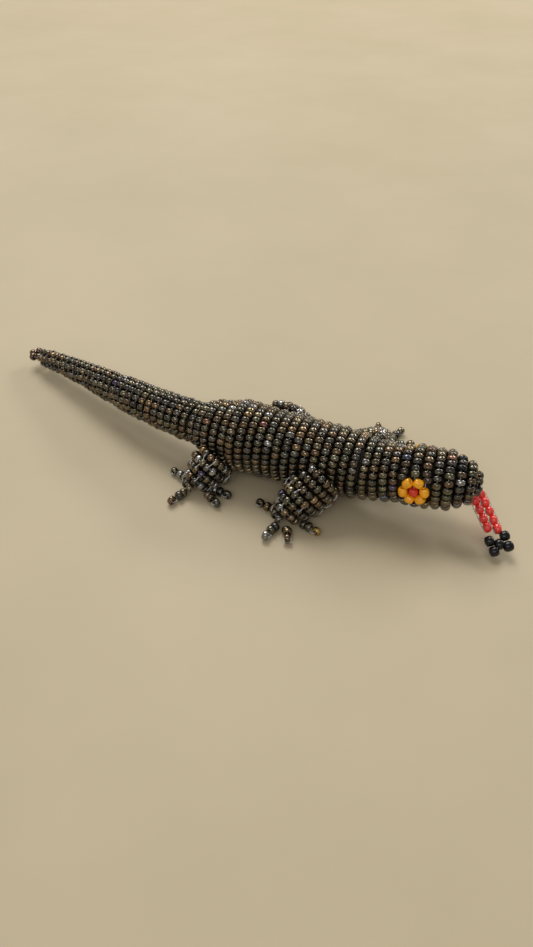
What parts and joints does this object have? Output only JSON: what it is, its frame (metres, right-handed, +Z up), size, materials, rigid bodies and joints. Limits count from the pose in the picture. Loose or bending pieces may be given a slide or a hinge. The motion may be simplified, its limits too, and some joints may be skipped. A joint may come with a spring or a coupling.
{
  "type": "beaded lizard figure",
  "caption": "Small stuffed monitor lizard woven from glass seed beads, with splayed feet, flower eyes and a hanging forked tongue.",
  "frame": {"origin": "middle of the bounding box, at the level the toes rest on", "axes": "+X runs from the tail towards the snout, +Y to the animal's left, +Z up"},
  "size_m": [0.1593, 0.0557, 0.021],
  "materials": {
    "bronze_iris_glass": "metallic iris, glossy",
    "brown_glass": "glossy",
    "orange_glass": "opaque, glossy",
    "red_glass": "opaque, glossy",
    "coral_glass": "translucent, glossy",
    "black_glass": "opaque, glossy",
    "nylon_thread": "clear, slightly shiny",
    "stuffing_fibre": "matt, loose fibre"
  },
  "bodies": {
    "torso": {"torso_beads_rear": "bronze_iris_glass", "torso_beads_middle": "bronze_iris_glass", "torso_beads_front": "bronze_iris_glass", "torso_thread": "nylon_thread", "torso_stuffing": "stuffing_fibre"},
    "head": {"neck_beads": "bronze_iris_glass", "head_beads": "bronze_iris_glass", "snout_beads": "bronze_iris_glass", "nostril_beads": "black_glass", "head_thread": "nylon_thread", "head_stuffing": "stuffing_fibre", "eye_petals_right": "orange_glass", "eye_centre_right": "red_glass", "eye_petals_left": "orange_glass", "eye_centre_left": "red_glass"},
    "tongue": {"tongue_red_beads": "coral_glass", "tongue_fork_beads": "black_glass", "tongue_thread": "nylon_thread"},
    "hind_leg_right": {"hind_leg_right_beads": "bronze_iris_glass", "hind_leg_right_toes": "bronze_iris_glass", "hind_leg_right_thread": "nylon_thread", "hind_leg_right_stuffing": "stuffing_fibre"},
    "hind_leg_left": {"hind_leg_left_beads": "bronze_iris_glass", "hind_leg_left_toes": "bronze_iris_glass", "hind_leg_left_thread": "nylon_thread", "hind_leg_left_stuffing": "stuffing_fibre"},
    "front_leg_right": {"front_leg_right_beads": "bronze_iris_glass", "front_leg_right_toes": "bronze_iris_glass", "front_leg_right_thread": "nylon_thread", "front_leg_right_stuffing": "stuffing_fibre"},
    "front_leg_left": {"front_leg_left_beads": "bronze_iris_glass", "front_leg_left_toes": "bronze_iris_glass", "front_leg_left_thread": "nylon_thread", "front_leg_left_stuffing": "stuffing_fibre"},
    "tail_1": {"tail_1_beads": "bronze_iris_glass", "tail_1_thread": "nylon_thread", "tail_1_stuffing": "stuffing_fibre"},
    "tail_2": {"tail_2_beads": "bronze_iris_glass", "tail_2_thread": "nylon_thread", "tail_2_stuffing": "stuffing_fibre"},
    "tail_3": {"tail_3_beads": "bronze_iris_glass", "tail_3_thread": "nylon_thread", "tail_3_stuffing": "stuffing_fibre"},
    "tail_4": {"tail_4_beads": "bronze_iris_glass", "tail_4_thread": "nylon_thread", "tail_4_stuffing": "stuffing_fibre"},
    "tail_5": {"tail_5_beads": "bronze_iris_glass", "tail_5_thread": "nylon_thread", "tail_5_stuffing": "stuffing_fibre", "tail_tip_beads": "brown_glass", "tail_tip_thread": "nylon_thread"}
  },
  "joints": [
    {"name": "neck_turn", "type": "hinge", "parent": "torso", "child": "head", "pos_m": [0.0392, -0.0036, 0.0112], "axis": [0, 0, 1], "range_deg": [-3.5, 3.5]},
    {"name": "tail_bend_1", "type": "hinge", "parent": "torso", "child": "tail_1", "pos_m": [-0.00855, -0.0027, 0.01086], "axis": [0, 0, 1], "range_deg": [-3.5, 3.5]},
    {"name": "tail_bend_2", "type": "hinge", "parent": "tail_1", "child": "tail_2", "pos_m": [-0.02346, 0.00052, 0.00991], "axis": [0, 0, 1], "range_deg": [-5, 5]},
    {"name": "tail_bend_3", "type": "hinge", "parent": "tail_2", "child": "tail_3", "pos_m": [-0.03806, 0.00494, 0.00872], "axis": [0, 0, 1], "range_deg": [-5.5, 5.5]},
    {"name": "tail_bend_4", "type": "hinge", "parent": "tail_3", "child": "tail_4", "pos_m": [-0.05013, 0.00903, 0.00755], "axis": [0, 0, 1], "range_deg": [-7, 7]},
    {"name": "tail_bend_5", "type": "hinge", "parent": "tail_4", "child": "tail_5", "pos_m": [-0.06222, 0.01298, 0.00613], "axis": [0, 0, 1], "range_deg": [-8.5, 8.5]},
    {"name": "hind_leg_right_flex", "type": "hinge", "parent": "torso", "child": "hind_leg_right", "pos_m": [0, -0.0036, 0.0112], "axis": [1, 0, 0], "range_deg": [-10, 4]},
    {"name": "hind_leg_left_flex", "type": "hinge", "parent": "torso", "child": "hind_leg_left", "pos_m": [0.0148, -0.0036, 0.0112], "axis": [1, 0, 0], "range_deg": [-4, 10]},
    {"name": "front_leg_right_flex", "type": "hinge", "parent": "torso", "child": "front_leg_right", "pos_m": [0.026, -0.0036, 0.0112], "axis": [1, 0, 0], "range_deg": [-10, 4]},
    {"name": "front_leg_left_flex", "type": "hinge", "parent": "torso", "child": "front_leg_left", "pos_m": [0.0393, -0.0036, 0.0112], "axis": [1, 0, 0], "range_deg": [-4, 10]},
    {"name": "tongue_swing", "type": "hinge", "parent": "head", "child": "tongue", "pos_m": [0.06641, 0.00235, 0.00869], "axis": [0, 0, 1], "range_deg": [-8, 10]}
  ],
  "couplings": [
    {"joint": "tail_bend_2", "follows": "tail_bend_1", "ratio": 1.4},
    {"joint": "tail_bend_3", "follows": "tail_bend_1", "ratio": 1.5},
    {"joint": "tail_bend_4", "follows": "tail_bend_1", "ratio": 1.9},
    {"joint": "tail_bend_5", "follows": "tail_bend_1", "ratio": 2.3}
  ]
}
